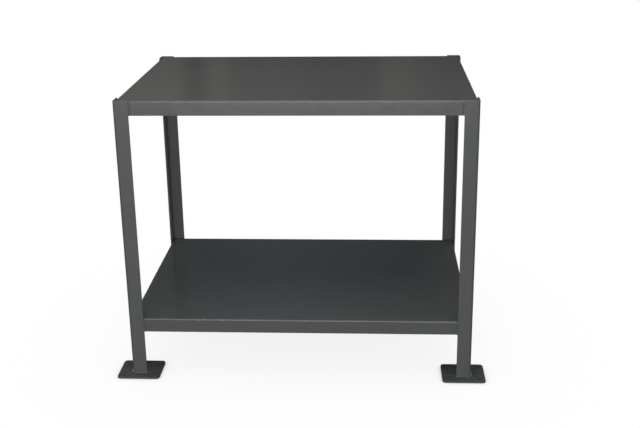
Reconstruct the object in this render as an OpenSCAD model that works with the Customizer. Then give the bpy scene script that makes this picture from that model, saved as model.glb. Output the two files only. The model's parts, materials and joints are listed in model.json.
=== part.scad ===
// Machine table: an all-welded steel stand with two folded sheet shelves,
// four angle legs and four drilled foot plates.
// Sizes are in millimetres. X runs along the width, Y from the front (-Y) to
// the back, and Z up from the floor. The origin is on the floor, under the
// middle of the table.

/* [Table] */
// Width over the outer faces of the legs
table_w = 914.4; // [600:0.1:1524]
// Depth over the outer faces of the legs
table_d = 609.6; // [450:0.1:915]
// Height from the floor to the tops of the legs
table_h = 762; // [500:1:1100]
// Height of the leg tops above the surface of the top shelf
leg_rise = 1.5; // [0.5:0.5:6]
// Height from the floor to the surface of the lower shelf
lower_shelf_h = 163; // [110:1:350]

/* [Shelves] */
// Thickness of the sheet that the shelves are folded from
sheet_t = 1.9; // [1.2:0.1:3]
// Depth of the folded edges, from the shelf surface to the cut edge
lip_h = 38.1; // [30:0.1:60]
// Inside radius of the folds
fold_r = 1.6; // [0.8:0.1:3]
// Room between a shelf's corner and the root of the leg that it sits in
corner_gap = 0.4; // [0.2:0.1:2]

/* [Stiffeners] */
// Height of the hat section under a shelf
stiffener_h = 25.4; // [15:0.1:28]
// Width of the hat section over its webs
stiffener_w = 50.8; // [30:0.1:76]
// Width of each flange that is spot-welded to the shelf
stiffener_flange = 19; // [12:0.5:25]
// Distance between the two stiffeners of the top shelf
stiffener_spacing = 254; // [170:1:300]
// Room between a stiffener's end and the folded edge
stiffener_end_gap = 6; // [2:0.5:20]

/* [Legs] */
// Width of each flange of the leg angle
leg_w = 38.1; // [30:0.1:64]
// Thickness of the leg angle
leg_t = 4.8; // [3:0.1:7]
// Radius in the root of the angle
leg_root_r = 4.8; // [3:0.1:8]
// Radius on the inner edge of each flange's toe
leg_toe_r = 2.4; // [0.5:0.1:2.8]
// Radius on the outer corner of the angle
leg_edge_r = 3; // [0.5:0.1:4]

/* [Foot plates] */
// Width of a foot plate, along X
foot_w = 114.3; // [106:0.1:150]
// Depth of a foot plate, along Y
foot_d = 95.2; // [86:0.1:130]
// Thickness of a foot plate
foot_t = 4.8; // [3:0.1:10]
// Radius of a foot plate's corners
foot_corner_r = 9.5; // [3:0.5:10]
// Diameter of the bolt holes
bolt_hole_d = 9.5; // [6:0.1:11]
// Outer bolt pattern, hole to hole along X
outer_bolt_x = 85.8; // [82:0.1:92]
// Outer bolt pattern, hole to hole along Y
outer_bolt_y = 66.8; // [63:0.1:72]
// Inner bolt pattern, hole to hole along X
inner_bolt_x = 73; // [70:0.1:76]
// Inner bolt pattern, hole to hole along Y
inner_bolt_y = 44.4; // [38:0.1:48]

/* [Welds] */
// Leg length of the fillet welds
weld_size = 4.5; // [3:0.1:7]
// Length of the short welds inside each leg's foot
inner_weld_l = 20; // [10:0.5:24]
// Distance of those welds from the leg's root radius
inner_weld_gap = 2; // [1:0.5:4]

/* [Hidden] */
$fn = 64;

// Signs that place a corner piece on the left or right, front or back
LEFT = -1;
RIGHT = 1;
FRONT = -1;
BACK = 1;

top_shelf_h = table_h - leg_rise;
// The shelves fill the space between the legs' flanges
shelf_w = table_w - 2 * leg_t;
shelf_d = table_d - 2 * leg_t;
fold_outer_r = fold_r + sheet_t;
shelf_corner_r = max(leg_root_r, fold_outer_r) + corner_gap;
stiffener_l = shelf_w - 2 * (sheet_t + stiffener_end_gap);
// A weld beside a leg's toe is no larger than the toe that it fills
edge_weld = min(weld_size, leg_t);
// The convex face of a weld is an arc struck from behind its root
weld_arc_back = 0.35;
weld_end_r = 0.8;

steel_grey = "#62676a";
shelf_grey = "#686c6b";
foot_grey = "#55595a";

// First quadrant of a ring, the section of a right-angle fold
module quarter_ring(inner_r, outer_r) {
    intersection() {
        difference() {
            circle(outer_r);
            circle(inner_r);
        }
        square(outer_r);
    }
}

// Square of side r that lacks the disc of a rounded corner
module corner_waste(r) {
    difference() {
        square(r);
        translate([r, r]) circle(r);
    }
}

module rounded_rectangle(w, d, r) {
    square([w - 2 * r, d], center = true);
    square([w, d - 2 * r], center = true);
    for (x = [-1, 1], y = [-1, 1])
        translate([x * (w / 2 - r), y * (d / 2 - r)]) circle(r);
}

// Fold and lip of a shelf. The surface is at y = 0, the outer face at x = 0.
module lip_section() {
    translate([-fold_outer_r, -fold_outer_r]) quarter_ring(fold_r, fold_outer_r);
    translate([-sheet_t, -lip_h]) square([sheet_t, lip_h - fold_outer_r]);
}

// Straight folded edge along X, with its outer face at y = 0 facing -Y
module lip_run(length) {
    translate([length / 2, 0, 0]) rotate([90, 0, -90])
        linear_extrude(length) lip_section();
}

// Shelf folded down on all sides. Its corners are welded and ground round,
// so that they clear the roots of the legs.
module shelf() {
    run_x = shelf_w - 2 * shelf_corner_r;
    run_y = shelf_d - 2 * shelf_corner_r;
    translate([0, 0, -sheet_t]) linear_extrude(sheet_t)
        rounded_rectangle(shelf_w - 2 * fold_outer_r, shelf_d - 2 * fold_outer_r,
                          shelf_corner_r - fold_outer_r);
    for (turn = [0, 180]) {
        rotate(turn) translate([0, -shelf_d / 2, 0]) lip_run(run_x);
        rotate(turn + 90) translate([0, -shelf_w / 2, 0]) lip_run(run_y);
    }
    for (x = [-1, 1], y = [-1, 1])
        translate([x * run_x / 2, y * run_y / 2, 0])
            mirror_if(x < 0, [1, 0, 0]) mirror_if(y < 0, [0, 1, 0])
                rotate_extrude(angle = 90) translate([shelf_corner_r, 0]) lip_section();
}

// One half of the hat section, from the middle of its crown to a flange's edge
module hat_half_section() {
    web_x = stiffener_w / 2;
    translate([0, -stiffener_h]) square([web_x - fold_outer_r, sheet_t]);
    translate([web_x - fold_outer_r, fold_outer_r - stiffener_h])
        mirror([0, 1, 0]) quarter_ring(fold_r, fold_outer_r);
    translate([web_x - sheet_t, fold_outer_r - stiffener_h])
        square([sheet_t, stiffener_h - 2 * fold_outer_r]);
    translate([web_x + fold_r, -fold_outer_r])
        mirror([1, 0, 0]) quarter_ring(fold_r, fold_outer_r);
    translate([web_x + fold_r, -sheet_t])
        square([stiffener_flange - fold_r, sheet_t]);
}

// Hat-section stiffener along X, its flanges against the underside of a shelf
module stiffener(surface_h, y) {
    translate([-stiffener_l / 2, y, surface_h - sheet_t]) rotate([90, 0, 90])
        linear_extrude(stiffener_l) {
            hat_half_section();
            mirror([1, 0, 0]) hat_half_section();
        }
}

module mirror_if(flag, axis) {
    if (flag) mirror(axis) children();
    else children();
}

// Places a piece drawn for the corner at 0,0, whose table lies towards +X +Y
module at_corner(side, end) {
    translate([side * table_w / 2, end * table_d / 2, 0])
        mirror_if(side == RIGHT, [1, 0, 0]) mirror_if(end == BACK, [0, 1, 0])
            children();
}

// Draws a piece for the front flange, and again for the side flange
module on_both_flanges() {
    children();
    mirror([1, -1, 0]) children();
}

// Rolled angle, with its outer corner at 0,0
module angle_section() {
    difference() {
        union() {
            square([leg_w, leg_t]);
            square([leg_t, leg_w]);
            translate([leg_t, leg_t]) corner_waste(leg_root_r);
        }
        corner_waste(leg_edge_r);
        for (flange = [0, 1])
            mirror_if(flange == 1, [1, -1, 0])
                translate([leg_w, leg_t]) rotate(180) corner_waste(leg_toe_r);
    }
}

module leg(side, end) {
    at_corner(side, end) translate([0, 0, foot_t])
        linear_extrude(table_h - foot_t) angle_section();
}

// Four holes at the corners of a rectangle
module bolt_holes(spacing_x, spacing_y) {
    for (x = [-1, 1], y = [-1, 1])
        translate([x * spacing_x / 2, y * spacing_y / 2]) circle(d = bolt_hole_d);
}

// Foot plate, centred under the square that the leg fills
module foot(side, end) {
    at_corner(side, end) translate([leg_w / 2, leg_w / 2, 0])
        linear_extrude(foot_t) difference() {
            rounded_rectangle(foot_w, foot_d, foot_corner_r);
            bolt_holes(outer_bolt_x, outer_bolt_y);
            bolt_holes(inner_bolt_x, inner_bolt_y);
        }
}

// Fillet weld section with its root at 0,0 and a slightly convex face
module weld_section(size) {
    back = weld_arc_back * size;
    intersection() {
        square(size);
        translate([-back, -back]) circle(norm([size + back, back]));
    }
}

// Straight weld up the Z axis, its ends rounded off where the arc was
// started and stopped
module weld_run(size, length) {
    end_r = weld_end_r * size;
    intersection() {
        linear_extrude(length) weld_section(size);
        translate([0, size, 0]) rotate([90, 0, 0]) linear_extrude(size)
            difference() {
                square([size, length]);
                translate([size, 0]) mirror([1, 0]) corner_waste(end_r);
                translate([size, length]) rotate(180) corner_waste(end_r);
            }
    }
}

// Two welds that hold a shelf to a leg, one beside the toe of each flange
module shelf_weld(side, end, surface_h) {
    at_corner(side, end) on_both_flanges()
        translate([leg_w, leg_t, surface_h - lip_h]) mirror([0, 1, 0])
            weld_run(edge_weld, lip_h - fold_outer_r);
}

// Welds of a leg to its foot plate: one run round the outside of the angle
// that turns in at both toes, and a short run on each inner face
module foot_weld(side, end) {
    at_corner(side, end) translate([0, 0, foot_t]) {
        translate([leg_edge_r, leg_edge_r, 0]) rotate(180)
            rotate_extrude(angle = 90) translate([leg_edge_r, 0]) weld_section(weld_size);
        on_both_flanges() {
            translate([leg_w, 0, 0]) rotate([90, 0, -90])
                linear_extrude(leg_w - leg_edge_r) weld_section(weld_size);
            translate([leg_w, 0, 0]) rotate(-90)
                rotate_extrude(angle = 90) weld_section(weld_size);
            translate([leg_w, leg_t - leg_toe_r, 0]) rotate([90, 0, 0])
                linear_extrude(leg_t - leg_toe_r) weld_section(weld_size);
            translate([leg_t + leg_root_r + inner_weld_gap, leg_t, 0])
                rotate([0, 90, 0]) rotate(90) weld_run(weld_size, inner_weld_l);
        }
    }
}

module top_shelf() { color(shelf_grey) translate([0, 0, top_shelf_h]) shelf(); }
module lower_shelf() { color(shelf_grey) translate([0, 0, lower_shelf_h]) shelf(); }
module top_front_stiffener() { color(steel_grey) stiffener(top_shelf_h, -stiffener_spacing / 2); }
module top_back_stiffener() { color(steel_grey) stiffener(top_shelf_h, stiffener_spacing / 2); }
module lower_stiffener() { color(steel_grey) stiffener(lower_shelf_h, 0); }
module front_left_leg() { color(steel_grey) leg(LEFT, FRONT); }
module front_right_leg() { color(steel_grey) leg(RIGHT, FRONT); }
module back_left_leg() { color(steel_grey) leg(LEFT, BACK); }
module back_right_leg() { color(steel_grey) leg(RIGHT, BACK); }
module front_left_foot() { color(foot_grey) foot(LEFT, FRONT); }
module front_right_foot() { color(foot_grey) foot(RIGHT, FRONT); }
module back_left_foot() { color(foot_grey) foot(LEFT, BACK); }
module back_right_foot() { color(foot_grey) foot(RIGHT, BACK); }
module front_left_top_weld() { color(steel_grey) shelf_weld(LEFT, FRONT, top_shelf_h); }
module front_right_top_weld() { color(steel_grey) shelf_weld(RIGHT, FRONT, top_shelf_h); }
module back_left_top_weld() { color(steel_grey) shelf_weld(LEFT, BACK, top_shelf_h); }
module back_right_top_weld() { color(steel_grey) shelf_weld(RIGHT, BACK, top_shelf_h); }
module front_left_lower_weld() { color(steel_grey) shelf_weld(LEFT, FRONT, lower_shelf_h); }
module front_right_lower_weld() { color(steel_grey) shelf_weld(RIGHT, FRONT, lower_shelf_h); }
module back_left_lower_weld() { color(steel_grey) shelf_weld(LEFT, BACK, lower_shelf_h); }
module back_right_lower_weld() { color(steel_grey) shelf_weld(RIGHT, BACK, lower_shelf_h); }
module front_left_foot_weld() { color(foot_grey) foot_weld(LEFT, FRONT); }
module front_right_foot_weld() { color(foot_grey) foot_weld(RIGHT, FRONT); }
module back_left_foot_weld() { color(foot_grey) foot_weld(LEFT, BACK); }
module back_right_foot_weld() { color(foot_grey) foot_weld(RIGHT, BACK); }

top_shelf();
lower_shelf();
top_front_stiffener();
top_back_stiffener();
lower_stiffener();
front_left_leg();
front_right_leg();
back_left_leg();
back_right_leg();
front_left_foot();
front_right_foot();
back_left_foot();
back_right_foot();
front_left_top_weld();
front_right_top_weld();
back_left_top_weld();
back_right_top_weld();
front_left_lower_weld();
front_right_lower_weld();
back_left_lower_weld();
back_right_lower_weld();
front_left_foot_weld();
front_right_foot_weld();
back_left_foot_weld();
back_right_foot_weld();
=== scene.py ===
import json
import math

import bmesh
import bpy
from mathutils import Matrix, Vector, noise

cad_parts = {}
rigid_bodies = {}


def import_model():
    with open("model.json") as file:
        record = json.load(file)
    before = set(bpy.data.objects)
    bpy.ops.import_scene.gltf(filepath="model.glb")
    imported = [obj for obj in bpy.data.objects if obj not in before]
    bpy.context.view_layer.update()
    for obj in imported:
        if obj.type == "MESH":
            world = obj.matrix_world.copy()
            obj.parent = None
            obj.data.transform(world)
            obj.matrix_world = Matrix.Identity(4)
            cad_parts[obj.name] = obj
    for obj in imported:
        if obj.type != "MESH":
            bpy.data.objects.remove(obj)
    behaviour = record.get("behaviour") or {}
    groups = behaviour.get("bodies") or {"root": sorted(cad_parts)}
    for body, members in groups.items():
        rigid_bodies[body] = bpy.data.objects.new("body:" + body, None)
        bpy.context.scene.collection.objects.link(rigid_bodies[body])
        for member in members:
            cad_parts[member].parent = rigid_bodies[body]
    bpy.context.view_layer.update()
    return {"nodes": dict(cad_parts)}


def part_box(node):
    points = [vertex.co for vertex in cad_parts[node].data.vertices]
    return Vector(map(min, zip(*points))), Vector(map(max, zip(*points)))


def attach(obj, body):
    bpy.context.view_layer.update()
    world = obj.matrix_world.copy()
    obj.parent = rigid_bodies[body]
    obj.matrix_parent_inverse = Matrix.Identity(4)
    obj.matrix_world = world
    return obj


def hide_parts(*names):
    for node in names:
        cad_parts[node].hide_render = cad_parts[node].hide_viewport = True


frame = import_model()

# Shelves. Each is one steel sheet folded down on all four sides into a shallow pan. The corners
# are welded shut and ground round. The whole table is sprayed grey after welding, in a semi-gloss
# enamel that dries to a fine orange peel, and flows out glossier on the level decks.
SHELF_PAINT_THIN = (0.096, 0.1, 0.096, 1)
SHELF_PAINT_FULL = (0.09, 0.094, 0.091, 1)
SHELF_GLOSS = (0.17, 0.22)
SHELF_PEEL = 0.000012
DECK_FLOW = 0.65
BLACK = (0, 0, 0, 1)
# Width of the patches in the coat and the steel, and how many finer levels each one holds
GUN_PASS = (0.14, 3)
MOTTLE = (0.007, 4)
GLOSS_CLOUD = (0.018, 3)
STEEL_WAVE = (0.2, 1)
ORANGE_PEEL = (0.0026, 1)
STEEL_WAVE_H = 0.00015
# The stretch of the noise that each uses, and how far it takes the coat from thin to full
GUN_PASS_SPAN = (0.35, 0.65)
GUN_PASS_SHARE = 0.6
FINE_SPAN = (0.3, 0.7)
MOTTLE_SHARE = 0.3
# Edges and inside corners: how wide, how open they are at the two ends of the change, how much
# of the coat is changed there, and to what part of its colour
EDGE_REACH = 0.0012
EDGE_SPAN = (0.5, 0.95)
EDGE_COVER = 0.8
EDGE_SHADE = 0.72
CORNER_REACH = 0.008
CORNER_SPAN = (0.35, 0.85)
CORNER_COVER = 0.75
CORNER_SHADE = 0.68
OPENNESS_SAMPLES = 12
# How far a face has to look up to count as level
LEVEL_SPAN = (0.6, 0.95)


def enamel(name, thin, full, gloss, peel_h, rolled=None, outer_corner_shade=None, top_shade=None, flow=None):
    """Sprayed enamel: its colour drifts between a thin and a full coat, its gloss varies, and
    its surface carries orange peel over the slow waves of the steel. Rolled is the patches,
    stretch and depth of the lengthwise marks that the coat follows. Outer corner shade is a hard
    corner's place beside the table's upright centre line, and the band and depth of painted shade
    along it. On level faces top shade is how far the colour is darkened as painted shade, and
    flow scales the roughness."""
    paint = bpy.data.materials.new(name)
    paint.use_nodes = True
    nodes = paint.node_tree.nodes
    links = paint.node_tree.links
    coat = nodes["Principled BSDF"]
    place = nodes.new("ShaderNodeTexCoord").outputs["Object"]

    def cloud(patches, stretch=1):
        """Noise in patches of this width, drawn out along the object's height."""
        width, finer = patches
        at = nodes.new("ShaderNodeVectorMath")
        at.operation = "MULTIPLY"
        at.inputs[1].default_value = (1 / width, 1 / width, 1 / (width * stretch))
        links.new(place, at.inputs[0])
        tex = nodes.new("ShaderNodeTexNoise")
        tex.inputs["Scale"].default_value = 1
        tex.inputs["Detail"].default_value = finer
        links.new(at.outputs["Vector"], tex.inputs["Vector"])
        return tex.outputs["Fac"]

    def spread(value, span, to_low, to_high):
        """Carries the span of a value over to two new ends, and holds it there."""
        carry = nodes.new("ShaderNodeMapRange")
        carry.inputs["From Min"].default_value, carry.inputs["From Max"].default_value = span
        carry.inputs["To Min"].default_value = to_low
        carry.inputs["To Max"].default_value = to_high
        links.new(value, carry.inputs["Value"])
        return carry.outputs["Result"]

    def join(first, second, operation="ADD"):
        total = nodes.new("ShaderNodeMath")
        total.operation = operation
        links.new(first, total.inputs[0])
        links.new(second, total.inputs[1])
        return total.outputs["Value"]

    def blend(amount, first, second):
        mix = nodes.new("ShaderNodeMix")
        mix.data_type = "RGBA"
        for socket, value in (("Factor", amount), ("A", first), ("B", second)):
            if isinstance(value, bpy.types.NodeSocket):
                links.new(value, mix.inputs[socket])
            else:
                mix.inputs[socket].default_value = value
        return mix.outputs["Result"]

    def openness(reach, inside):
        """1 out on an open flat, less where other faces lie within reach."""
        corner = nodes.new("ShaderNodeAmbientOcclusion")
        corner.samples = OPENNESS_SAMPLES
        corner.inside = inside
        corner.only_local = inside
        corner.inputs["Distance"].default_value = reach
        return corner.outputs["AO"]

    def shaded(part):
        return tuple(part * level for level in full[:3]) + (1,)

    def beside(corner):
        """How far a point lies from the upright corner at plus or minus this x and y."""
        mirrored_place = nodes.new("ShaderNodeVectorMath")
        mirrored_place.operation = "ABSOLUTE"
        links.new(place, mirrored_place.inputs[0])
        inset = nodes.new("ShaderNodeVectorMath")
        inset.operation = "SUBTRACT"
        inset.inputs[0].default_value = (*corner, 0)
        links.new(mirrored_place.outputs["Vector"], inset.inputs[1])
        total = nodes.new("ShaderNodeVectorMath")
        total.operation = "DOT_PRODUCT"
        total.inputs[1].default_value = (1, 1, 0)
        links.new(inset.outputs["Vector"], total.inputs[0])
        return total.outputs["Value"]

    # Wide drifts from the spray gun's passes, a fine mottle, and streaks along rolled bar
    coat_depth = join(spread(cloud(GUN_PASS), GUN_PASS_SPAN, 0, GUN_PASS_SHARE),
                      spread(cloud(MOTTLE), FINE_SPAN, 0, MOTTLE_SHARE))
    if rolled:
        marks, stretch, depth = rolled
        coat_depth = join(coat_depth, spread(cloud(marks, stretch), FINE_SPAN, -depth, depth))
    colour = blend(coat_depth, thin, full)

    # The coat draws thin and dark on cut edges, and painted shade darkens the inside corners
    cut_edge = spread(openness(EDGE_REACH, True), EDGE_SPAN, EDGE_COVER, 0)
    colour = blend(cut_edge, colour, shaded(EDGE_SHADE))
    painted_corner_shade = spread(openness(CORNER_REACH, False), CORNER_SPAN, CORNER_COVER, 0)
    colour = blend(painted_corner_shade, colour, shaded(CORNER_SHADE))
    # Along the hard outer corner the colour is darkened towards black as painted shade
    if outer_corner_shade:
        corner, band, dark = outer_corner_shade
        colour = blend(spread(beside(corner), band, dark, 0), colour, BLACK)

    facing = nodes.new("ShaderNodeSeparateXYZ")
    links.new(nodes.new("ShaderNodeNewGeometry").outputs["Normal"], facing.inputs["Vector"])
    # Level faces can be darkened towards black as painted shade
    if top_shade:
        colour = blend(spread(facing.outputs["Z"], LEVEL_SPAN, 0, top_shade), colour, BLACK)
    links.new(colour, coat.inputs["Base Color"])

    roughness = spread(cloud(GLOSS_CLOUD), FINE_SPAN, *gloss)
    if flow:
        roughness = join(roughness, spread(facing.outputs["Z"], LEVEL_SPAN, 1, flow), "MULTIPLY")
    links.new(roughness, coat.inputs["Roughness"])

    wave = nodes.new("ShaderNodeBump")
    wave.inputs["Distance"].default_value = STEEL_WAVE_H
    links.new(cloud(STEEL_WAVE), wave.inputs["Height"])
    skin = nodes.new("ShaderNodeBump")
    skin.inputs["Distance"].default_value = peel_h
    links.new(cloud(ORANGE_PEEL), skin.inputs["Height"])
    links.new(wave.outputs["Normal"], skin.inputs["Normal"])
    links.new(skin.outputs["Normal"], coat.inputs["Normal"])
    return paint


SHEET_EDGE_R = 0.0004
SAME_POINT = 0.00001
SAME_FLAT = math.radians(0.5)
CUT_EDGE = math.radians(40)
ROUNDING_STEPS = 3


def soften_edges(piece, radius):
    """Rounds every cut edge of a steel piece, as deburring and paint leave it."""
    joined = piece.modifiers.new("joined_faces", "WELD")
    joined.merge_threshold = SAME_POINT
    flats = piece.modifiers.new("whole_flats", "DECIMATE")
    flats.decimate_type = "DISSOLVE"
    flats.angle_limit = SAME_FLAT
    edge = piece.modifiers.new("cut_edges", "BEVEL")
    edge.width = radius
    edge.segments = ROUNDING_STEPS
    edge.limit_method = "ANGLE"
    edge.angle_limit = CUT_EDGE
    gleam = piece.modifiers.new("flat_faces_stay_flat", "WEIGHTED_NORMAL")
    gleam.keep_sharp = False


shelf_paint = enamel("shelf_enamel", SHELF_PAINT_THIN, SHELF_PAINT_FULL, SHELF_GLOSS, SHELF_PEEL,
                     flow=DECK_FLOW)
for shelf_name in ("top_shelf", "lower_shelf"):
    shelf = frame["nodes"][shelf_name]
    soften_edges(shelf, SHEET_EDGE_R)
    shelf.material_slots[0].material = shelf_paint

# Stiffeners. Hat sections are folded from the same sheet and spot-welded under the decks, two
# under the top and one under the lower shelf. Each spot leaves a shallow round dish with a
# raised rim in the flange, and the paint runs over it.
FRAME_PAINT_THIN = (0.103, 0.108, 0.105, 1)
FRAME_PAINT_FULL = (0.095, 0.1, 0.098, 1)
FRAME_GLOSS = (0.17, 0.2)
FRAME_PEEL = 0.000016
SPOT_PITCH = 0.075
SPOT_INSET = 0.0085
SPOT_RIM_R = 0.0034
SPOT_RIM_H = 0.00028
SPOT_SIDES = 28
# From the outside in: how far out in rim radii, and how far down in rim heights
SPOT_PROFILE = ((1.3, -0.1), (1.12, 0.45), (1, 1), (0.84, 0.7), (0.62, 0.28), (0.3, 0.16))
CREASE = math.radians(42)

frame_paint = enamel("frame_enamel", FRAME_PAINT_THIN, FRAME_PAINT_FULL, FRAME_GLOSS, FRAME_PEEL)


def steel_piece(name, mesh, paint):
    """Turns finished mesh code into a piece of the table."""
    bmesh.ops.recalc_face_normals(mesh, faces=mesh.faces)
    data = bpy.data.meshes.new(name)
    mesh.to_mesh(data)
    mesh.free()
    data.shade_smooth()
    data.set_sharp_from_angle(angle=CREASE)
    data.materials.append(paint)
    piece = bpy.data.objects.new(name, data)
    bpy.context.scene.collection.objects.link(piece)
    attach(piece, "root")
    return piece


def press_spot(mesh, centre):
    """One spot weld on a flange that faces down: a rim round a shallow dish."""
    rings = []
    for reach, drop in SPOT_PROFILE:
        ring = []
        for side in range(SPOT_SIDES):
            turn = 2 * math.pi * side / SPOT_SIDES
            x = reach * SPOT_RIM_R * math.cos(turn)
            y = reach * SPOT_RIM_R * math.sin(turn)
            ring.append(mesh.verts.new(centre + Vector((x, y, -drop * SPOT_RIM_H))))
        rings.append(ring)
    for outer, inner in zip(rings, rings[1:]):
        for side in range(SPOT_SIDES):
            nxt = (side + 1) % SPOT_SIDES
            mesh.faces.new((outer[side], outer[nxt], inner[nxt], inner[side]))
    mesh.faces.new(rings[-1])
    mesh.faces.new(rings[0])


for stiffener_name, shelf_name in (("top_front_stiffener", "top_shelf"),
                                   ("top_back_stiffener", "top_shelf"),
                                   ("lower_stiffener", "lower_shelf")):
    stiffener = frame["nodes"][stiffener_name]
    soften_edges(stiffener, SHEET_EDGE_R)
    stiffener.material_slots[0].material = frame_paint
    low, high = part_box(stiffener_name)
    sheet_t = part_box(shelf_name)[1].z - high.z
    flange_z = high.z - sheet_t
    spots = bmesh.new()
    spots_run = high.x - low.x - 2 * SPOT_INSET
    count = round(spots_run / SPOT_PITCH)
    for spot in range(count + 1):
        x = low.x + SPOT_INSET + spots_run * spot / count
        for y in (low.y + SPOT_INSET, high.y - SPOT_INSET):
            press_spot(spots, Vector((x, y, flange_z)))
    steel_piece(stiffener_name + "_spot_welds", spots, frame_paint)

# Legs. Four lengths of hot-rolled angle stand outside the shelf corners, cut square at both ends.
# The rolls leave faint marks along the faces, which the paint doesn't quite hide, and along the
# hard outer corner the colour is darkened as painted shade, for the side that turns from the
# light.
LEG_EDGE_R = 0.001
ROLLED_MARKS = (0.007, 2)
ROLLED_STRETCH = 40
ROLLED_DEPTH = 0.35
# Band and depth of the painted shade along the outer corner
OUTER_SHADE_BAND = (0.001, 0.007)
OUTER_SHADE_DEPTH = 0.36

leg_low, leg_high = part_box("front_left_leg")
leg_paint = enamel("leg_enamel", FRAME_PAINT_THIN, FRAME_PAINT_FULL, FRAME_GLOSS, FRAME_PEEL,
                   rolled=(ROLLED_MARKS, ROLLED_STRETCH, ROLLED_DEPTH),
                   outer_corner_shade=((-leg_low.x, -leg_low.y), OUTER_SHADE_BAND, OUTER_SHADE_DEPTH))
for leg_name in ("front_left_leg", "front_right_leg", "back_left_leg", "back_right_leg"):
    leg = frame["nodes"][leg_name]
    soften_edges(leg, LEG_EDGE_R)
    leg.material_slots[0].material = leg_paint

# Shelf welds. A short fillet beside the toe of each leg flange joins it to the folded edge of a
# shelf. The puddle froze in small overlapping crescents, and the bead wanders and tapers off
# where the arc was struck and let go. It is painted over with the rest.
# The weld paint is set lighter than the frame's, as painted light that lifts the shade in the
# fillet
WELD_LIT_PAINT_THIN = (0.11, 0.115, 0.112, 1)
WELD_LIT_PAINT_FULL = (0.1, 0.105, 0.103, 1)
WELD_GLOSS = (0.22, 0.3)
WELD_PEEL = 0.00002
SHELF_WELD_SIZE = 0.0045
SHELF_BEAD_SEED = 3.7
BEAD_STEP = 0.00035
BEAD_POINTS = 10
BEAD_CROWN = 0.35
BEAD_SUNK = 0.0003
BEAD_ROOT_SUNK = 0.000075
BEAD_TOE_CURL = 4
BEAD_END = 0.0028
BEAD_END_W = 0.35
BEAD_WANDER = 0.16
RIPPLE_PITCH = 0.0019
RIPPLE_DEPTH = 0.05
RIPPLE_UNEVEN = 1.2
RIPPLE_LAG = 0.0015
RIPPLE_STRAY = 0.0011
RIPPLE_RISE = 4
RIPPLE_AT_TOE = 0.2
# Changes of the hand along a bead: how many to the metre, and their own lane of the noise
WANDER_HAND = (110, 0.5)
STRAY_HAND = (200, 7.5)
DEPTH_HAND = (160, 3.5)

weld_paint = enamel("weld_enamel", WELD_LIT_PAINT_THIN, WELD_LIT_PAINT_FULL, WELD_GLOSS, WELD_PEEL)


def lay_bead(mesh, path, size, seed):
    """Sweeps a fillet along path, a list of (root, across, up). The two directions
    point from the root along the plates that the bead joins."""
    def hand(along, changes):
        per_metre, lane = changes
        return noise.noise((along * per_metre, seed, lane))

    run = [0.0]
    for (here, across, _), (there, across_there, _) in zip(path, path[1:]):
        run.append(run[-1] + (there + across_there * size / 2 - here - across * size / 2).length)
    back = BEAD_CROWN * size
    crown_r = math.hypot(size + back, back)
    first = math.asin(back / crown_r)
    rings = []
    for (root, across, up), s in zip(path, run):
        to_end = min(1, min(s, run[-1] - s) / BEAD_END)
        width = size * (BEAD_END_W + (1 - BEAD_END_W) * math.sqrt(1 - (1 - to_end) ** 2))
        width *= 1 - BEAD_WANDER * (1 + hand(s, WANDER_HAND)) / 2
        stray = RIPPLE_STRAY * hand(s, STRAY_HAND)
        depth = RIPPLE_DEPTH * (1 + RIPPLE_UNEVEN * hand(s, DEPTH_HAND))
        ring = [mesh.verts.new(root + (across + up) * BEAD_ROOT_SUNK)]
        for point in range(BEAD_POINTS + 1):
            part = point / BEAD_POINTS
            turn = first + (math.pi / 2 - 2 * first) * part
            a = (crown_r * math.cos(turn) - back) / size
            b = (crown_r * math.sin(turn) - back) / size
            bow = 1 - (2 * part - 1) ** 2
            scale = ((s - RIPPLE_LAG * bow + stray) / RIPPLE_PITCH) % 1
            dip = depth * (1 - scale) * min(1, scale * RIPPLE_RISE)
            shrink = 1 - dip * (RIPPLE_AT_TOE + (1 - RIPPLE_AT_TOE) * bow)
            ring.append(mesh.verts.new(
                root + across * (a * width * shrink - BEAD_SUNK * part ** BEAD_TOE_CURL)
                + up * (b * width * shrink - BEAD_SUNK * (1 - part) ** BEAD_TOE_CURL)))
        rings.append(ring)
    for ring, following in zip(rings, rings[1:]):
        for corner in range(len(ring)):
            nxt = (corner + 1) % len(ring)
            mesh.faces.new((ring[corner], ring[nxt], following[nxt], following[corner]))
    mesh.faces.new(rings[0])
    mesh.faces.new(rings[-1])


def straight(start, end, across, up):
    """Stations of a straight bead from one root point to another."""
    steps = round((end - start).length / BEAD_STEP)
    return [(start.lerp(end, step / steps), across, up) for step in range(steps + 1)]


CORNERS = [(end_name + "_" + side_name, side, end)
           for end_name, end in (("front", -1), ("back", 1))
           for side_name, side in (("left", -1), ("right", 1))]
UP = Vector((0, 0, 1))
leg_w = leg_high.x - leg_low.x
leg_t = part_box("top_shelf")[0].x - leg_low.x
table_half = Vector((-leg_low.x, -leg_low.y, 0))


def place_at(side, end, flange_of_side):
    """Returns a function that carries a leg's own x, y to the table's corner. x runs from
    the leg's outer corner along the front or back flange, or the side flange if asked."""
    def carry(x, y, z=0, turn_only=False):
        if flange_of_side:
            x, y = y, x
        if turn_only:
            return Vector((-side * x, -end * y, z))
        return Vector((side * (table_half.x - x), end * (table_half.y - y), z))
    return carry


for corner_name, side, end in CORNERS:
    for level in ("top", "lower"):
        node = f"{corner_name}_{level}_weld"
        low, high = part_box(node)
        beads = bmesh.new()
        for flange in (False, True):
            carry = place_at(side, end, flange)
            across = carry(1, 0, turn_only=True)
            out = carry(0, -1, turn_only=True)
            root = carry(leg_w, leg_t)
            lay_bead(beads, straight(root + UP * low.z, root + UP * high.z, across, out),
                     SHELF_WELD_SIZE, seed=SHELF_BEAD_SEED * len(bpy.data.objects) + flange)
        piece = steel_piece(node + "_beads", beads, weld_paint)
        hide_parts(node)

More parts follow.
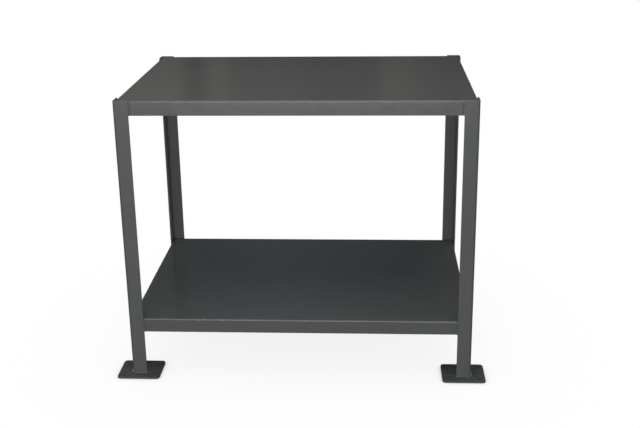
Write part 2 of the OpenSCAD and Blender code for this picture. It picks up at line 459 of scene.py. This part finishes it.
# Foot plates. Each is flat bar sheared to size, its corners rounded and eight holes drilled, so
# that it takes a floor bolt or a caster of either of two bolt spacings. The plates were painted
# with the table. Their colour is set darker than the frame's as painted shade, and their tops
# are darkened further as painted shade.
# The plates' coat is set darker than the frame's as painted shade
FOOT_SHADED_PAINT_THIN = (0.092, 0.096, 0.096, 1)
FOOT_SHADED_PAINT_FULL = (0.078, 0.081, 0.082, 1)
FOOT_GLOSS = (0.28, 0.4)
FOOT_PEEL = 0.00002
# How far the tops of the plates are darkened as painted shade
FOOT_TOP_SHADE = 0.14
FOOT_EDGE_R = 0.0005

foot_paint = enamel("foot_enamel", FOOT_SHADED_PAINT_THIN, FOOT_SHADED_PAINT_FULL, FOOT_GLOSS, FOOT_PEEL,
                    top_shade=FOOT_TOP_SHADE)
for corner_name, _, _ in CORNERS:
    foot = frame["nodes"][corner_name + "_foot"]
    soften_edges(foot, FOOT_EDGE_R)
    foot.material_slots[0].material = foot_paint

# Foot welds. One fillet runs round the outside of each angle and turns in at both toes, and a
# short stitch holds each inner face. They are laid by hand like the shelf welds, and their paint
# is set darker than the plates' as painted shade.
# The foot welds' colour is darkened as painted shade
FOOT_WELD_SHADED_PAINT = (0.062, 0.065, 0.066, 1)
FOOT_WELD_GLOSS = (0.4, 0.5)
FOOT_WELD_SIZE = 0.0045
FOOT_BEAD_SEED = 5.9
STITCH_SEED = 11.3
STITCH_GAP = 0.002
STITCH_L = 0.02
LEG_OUTER_R = 0.003
LEG_ROOT_R = 0.0048
LEG_TOE_R = 0.0024
QUARTER = math.pi / 2
EIGHTH = math.pi / 4

foot_weld_paint = enamel("foot_weld_enamel", FOOT_WELD_SHADED_PAINT, FOOT_WELD_SHADED_PAINT, FOOT_WELD_GLOSS,
                         WELD_PEEL)


def round_corner(carry, centre_x, centre_y, radius, from_turn, to_turn, z):
    """Stations of the bead round a vertical edge of the leg, as its root turns."""
    steps = round((radius + FOOT_WELD_SIZE / 2) * abs(to_turn - from_turn) / BEAD_STEP)
    stations = []
    for step in range(steps + 1):
        turn = from_turn + (to_turn - from_turn) * step / steps
        x, y = math.cos(turn), math.sin(turn)
        stations.append((carry(centre_x + radius * x, centre_y + radius * y, z),
                         carry(x, y, turn_only=True), UP))
    return stations


for corner_name, side, end in CORNERS:
    node = corner_name + "_foot_weld"
    foot_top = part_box(node)[0].z
    beads = bmesh.new()
    half_runs = []
    for flange in (False, True):
        carry = place_at(side, end, flange)
        toe_in = carry(leg_w, leg_t - LEG_TOE_R, foot_top)
        toe_out = carry(leg_w, LEG_EDGE_R, foot_top)
        face_start = carry(leg_w - LEG_EDGE_R, 0, foot_top)
        face_end = carry(LEG_OUTER_R, 0, foot_top)
        off_toe = carry(1, 0, turn_only=True)
        off_face = carry(0, -1, turn_only=True)
        half = straight(toe_in, toe_out, off_toe, UP)
        half += round_corner(carry, leg_w - LEG_EDGE_R, LEG_EDGE_R, LEG_EDGE_R,
                             0, -QUARTER, foot_top)[1:]
        half += straight(face_start, face_end, off_face, UP)[1:]
        half += round_corner(carry, LEG_OUTER_R, LEG_OUTER_R, LEG_OUTER_R,
                             -QUARTER, -QUARTER - EIGHTH, foot_top)[1:]
        half_runs.append(half)
        stitch_x = leg_t + LEG_ROOT_R + STITCH_GAP
        stitch = straight(carry(stitch_x, leg_t, foot_top),
                          carry(stitch_x + STITCH_L, leg_t, foot_top), -off_face, UP)
        lay_bead(beads, stitch, FOOT_WELD_SIZE,
                 seed=STITCH_SEED * len(bpy.data.objects) + flange)
    # The halves meet at the outer corner, so the second runs back from there
    lay_bead(beads, half_runs[0] + half_runs[1][-2::-1], FOOT_WELD_SIZE,
             seed=FOOT_BEAD_SEED * len(bpy.data.objects))
    piece = steel_piece(node + "_beads", beads, foot_weld_paint)
    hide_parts(node)

# The floor. White paper runs out into a white backdrop, and keeps a soft shadow under the table
# and a darker one close to the plates. The paint mirrors it dimly, and so stays grey.
FLOOR_SIZE = 60
FLOOR_DROP = 0.0002
FLOOR_BOUNCE = 0.35
FLOOR_MIRRORED = 0.06
CONTACT_REACH = 0.03
CONTACT_DEPTH = 0.8
SHADOW_REACH = 0.6
SHADOW_DEPTH = 0.13
SHADOW_SAMPLES = 16

floor_mesh = bpy.data.meshes.new("studio_floor")
half = FLOOR_SIZE / 2
floor_mesh.from_pydata([(-half, -half, -FLOOR_DROP), (half, -half, -FLOOR_DROP),
                        (half, half, -FLOOR_DROP), (-half, half, -FLOOR_DROP)],
                       [], [(0, 1, 2, 3)])
studio_floor = bpy.data.objects.new("studio_floor", floor_mesh)
bpy.context.scene.collection.objects.link(studio_floor)


def maths(tree, operation, *values):
    node = tree.nodes.new("ShaderNodeMath")
    node.operation = operation
    for socket, value in zip(node.inputs, values):
        if isinstance(value, bpy.types.NodeSocket):
            tree.links.new(value, socket)
        else:
            socket.default_value = value
    return node.outputs["Value"]


def ray_kinds(tree):
    """1 for rays from the camera, and 1 for those that the object mirrors or lets through."""
    path = tree.nodes.new("ShaderNodeLightPath").outputs
    return (path["Is Camera Ray"],
            maths(tree, "MAXIMUM", path["Is Glossy Ray"], path["Is Transmission Ray"]))


def shade(tree, reach, depth):
    """1 out in the open, falling by depth where the table stands within reach."""
    open_sky = tree.nodes.new("ShaderNodeAmbientOcclusion")
    open_sky.samples = SHADOW_SAMPLES
    open_sky.inputs["Distance"].default_value = reach
    return maths(tree, "MULTIPLY_ADD", open_sky.outputs["AO"], depth, 1 - depth)


floor_paper = bpy.data.materials.new("studio_paper")
floor_paper.use_nodes = True
floor_paper.cycles.emission_sampling = "NONE"
tree = floor_paper.node_tree
tree.nodes.clear()
seen, mirrored = ray_kinds(tree)
glow = tree.nodes.new("ShaderNodeEmission")
brightness = maths(tree, "MULTIPLY_ADD", mirrored, FLOOR_MIRRORED, seen)
shadow = maths(tree, "MULTIPLY", shade(tree, CONTACT_REACH, CONTACT_DEPTH),
               shade(tree, SHADOW_REACH, SHADOW_DEPTH))
tree.links.new(maths(tree, "MULTIPLY", brightness, shadow), glow.inputs["Strength"])
paper = tree.nodes.new("ShaderNodeBsdfDiffuse")
paper.inputs["Color"].default_value = (FLOOR_BOUNCE, FLOOR_BOUNCE, FLOOR_BOUNCE, 1)
pick = tree.nodes.new("ShaderNodeMixShader")
tree.links.new(maths(tree, "MAXIMUM", seen, mirrored), pick.inputs["Fac"])
tree.links.new(paper.outputs["BSDF"], pick.inputs[1])
tree.links.new(glow.outputs["Emission"], pick.inputs[2])
out = tree.nodes.new("ShaderNodeOutputMaterial")
tree.links.new(pick.outputs["Shader"], out.inputs["Surface"])
floor_mesh.materials.append(floor_paper)

# The studio wall. The camera sees plain white, and the table gets a plain white room light. What
# the paint mirrors is dimmer: a wall of paler and darker flats, which shows in the decks as soft
# upright bands, and above the flats only one drift from paler to darker.
ROOM_LIGHT = 0.33
WHITE_FLAT = (2.0, 1.8, 1.7)
PALE_FLAT = (1.4, 1.3, 1.3)
PLAIN_FLAT = (0.9, 0.9, 0.9)
DARK_FLAT = (0.5, 0.5, 0.55)
PALEST = max(WHITE_FLAT)
# The set of flats stands again after each turn of this size, all round the table
FLATS_TURN = math.radians(40)
FLATS_MIDDLE = 0.5
# Bearings in degrees, from the left: a white flat, a dark gap, a narrow white flat, plain wall, a
# dark flat, and a pale one that falls off to a dark edge
FLATS = ((-20, PLAIN_FLAT), (-14, WHITE_FLAT), (-11.5, WHITE_FLAT), (-10.5, DARK_FLAT),
         (-9, WHITE_FLAT), (-8, PLAIN_FLAT), (-5, PLAIN_FLAT), (-3, DARK_FLAT), (0, DARK_FLAT),
         (1, PALE_FLAT), (5, DARK_FLAT), (7, PLAIN_FLAT), (20, PLAIN_FLAT))
HIGH_WALL = ((-20, PLAIN_FLAT), (-12, PLAIN_FLAT), (-6, PALE_FLAT), (4, DARK_FLAT),
             (20, PLAIN_FLAT))
# Height of the wall as the sine of its rise: where the flats end, and how bright it stands
FLATS_END = ((0.25, 0), (0.33, 1))
WALL = ((0, 0.3), (0.05, 0.15), (0.14, 0.035), (0.2, 0.055), (0.25, 0.075),
        (0.38, (0.07, 0.095, 0.12)), (1, (0.06, 0.07, 0.08)))

world = bpy.data.worlds.new("studio_room")
world.use_nodes = True
bpy.context.scene.world = world
tree = world.node_tree
tree.nodes.clear()
looking = tree.nodes.new("ShaderNodeSeparateXYZ")
towards = tree.nodes.new("ShaderNodeTexCoord").outputs["Generated"]
tree.links.new(towards, looking.inputs["Vector"])
bearing = maths(tree, "ARCTAN2", looking.outputs["X"], looking.outputs["Y"])
bearing = maths(tree, "WRAP", bearing, FLATS_TURN / 2, -FLATS_TURN / 2)
bearing = maths(tree, "MULTIPLY_ADD", bearing, 1 / FLATS_TURN, FLATS_MIDDLE)


def ramp(value, stops):
    """Colours or levels that run smoothly from one stop to the next."""
    node = tree.nodes.new("ShaderNodeValToRGB")
    node.color_ramp.interpolation = "EASE"
    marks = node.color_ramp.elements
    while len(marks) < len(stops):
        marks.new(FLATS_MIDDLE)
    for mark, (place, level) in zip(marks, stops):
        mark.position = place
        mark.color = (*level, 1) if isinstance(level, tuple) else (level, level, level, 1)
    tree.links.new(value, node.inputs["Fac"])
    return node.outputs["Color"]


def by_bearing(levels):
    """The finishes of a ring of the wall, scaled so that the palest is 1 in the ramp."""
    return ramp(bearing, [
        (FLATS_MIDDLE + math.radians(turn) / FLATS_TURN, tuple(c / PALEST for c in level))
        for turn, level in levels])


def mix_colours(blend_type, first, second):
    node = tree.nodes.new("ShaderNodeMix")
    node.data_type = "RGBA"
    node.blend_type = blend_type
    node.inputs["Factor"].default_value = 1
    tree.links.new(first, node.inputs["A"])
    tree.links.new(second, node.inputs["B"])
    return node


ring = mix_colours("MIX", by_bearing(FLATS), by_bearing(HIGH_WALL))
tree.links.new(ramp(looking.outputs["Z"], FLATS_END), ring.inputs["Factor"])
wall = mix_colours("MULTIPLY", ramp(looking.outputs["Z"], WALL), ring.outputs["Result"])
wall_light = tree.nodes.new("ShaderNodeBackground")
wall_light.inputs["Strength"].default_value = PALEST
tree.links.new(wall.outputs["Result"], wall_light.inputs["Color"])
seen, mirrored = ray_kinds(tree)
plain_light = tree.nodes.new("ShaderNodeBackground")
plain_light.inputs["Color"].default_value = (1, 1, 1, 1)
tree.links.new(maths(tree, "MAXIMUM", seen, ROOM_LIGHT), plain_light.inputs["Strength"])
room = tree.nodes.new("ShaderNodeMixShader")
tree.links.new(mirrored, room.inputs["Fac"])
tree.links.new(plain_light.outputs["Background"], room.inputs[1])
tree.links.new(wall_light.outputs["Background"], room.inputs[2])
out = tree.nodes.new("ShaderNodeOutputWorld")
tree.links.new(room.outputs["Shader"], out.inputs["Surface"])

# The lamps. Soft boxes: one overhead, a wide low one in front, and a low one behind at each side,
# which opens up the sides and the back. The camera doesn't see them.
WARM_WHITE = (1, 0.985, 0.95)
COOL_WHITE = (0.955, 0.99, 0.99)


def soft_box(name, place, aim, width, height, watts, colour):
    light = bpy.data.lights.new(name, "AREA")
    light.shape = "RECTANGLE"
    light.size = width
    light.size_y = height
    light.energy = watts
    light.color = colour
    lamp = bpy.data.objects.new(name, light)
    lamp.location = place
    lamp.rotation_euler = (Vector(aim) - Vector(place)).to_track_quat("-Z", "Y").to_euler()
    lamp.visible_camera = False
    bpy.context.scene.collection.objects.link(lamp)


soft_box("top_box", place=(0, -0.5, 2.3), aim=(0, -0.1, 0.5),
         width=1.6, height=1.4, watts=21, colour=WARM_WHITE)
soft_box("front_box", place=(-0.2, -3.4, 0.7), aim=(0, 0, 0.4),
         width=2.0, height=0.8, watts=57, colour=COOL_WHITE)
soft_box("left_box", place=(-2.2, 1.6, 0.4), aim=(0, 0, 0.35),
         width=1.8, height=0.7, watts=17, colour=COOL_WHITE)
soft_box("right_box", place=(2.2, 1.6, 0.4), aim=(0, 0, 0.35),
         width=1.8, height=0.7, watts=12, colour=COOL_WHITE)

# The camera. It stands in front, a little right of the middle and above the top shelf, and looks
# down at the lower one. A small shift brings the table to its place in the picture.
CAMERA_SENSOR = 36
CAMERA_LENS = 55.167
CAMERA_SHIFT = -0.05
CAMERA_PLACE = (0.1885, -2.6677, 1.3095)
CAMERA_TURN = (72.228, 0.762, 2.865)

camera_data = bpy.data.cameras.new("camera")
camera_data.sensor_width = CAMERA_SENSOR
camera_data.lens = CAMERA_LENS
camera_data.shift_y = CAMERA_SHIFT
camera = bpy.data.objects.new("camera", camera_data)
camera.location = CAMERA_PLACE
camera.rotation_euler = [math.radians(degrees) for degrees in CAMERA_TURN]
bpy.context.scene.collection.objects.link(camera)
bpy.context.scene.camera = camera
bpy.context.scene.view_settings.view_transform = "Standard"
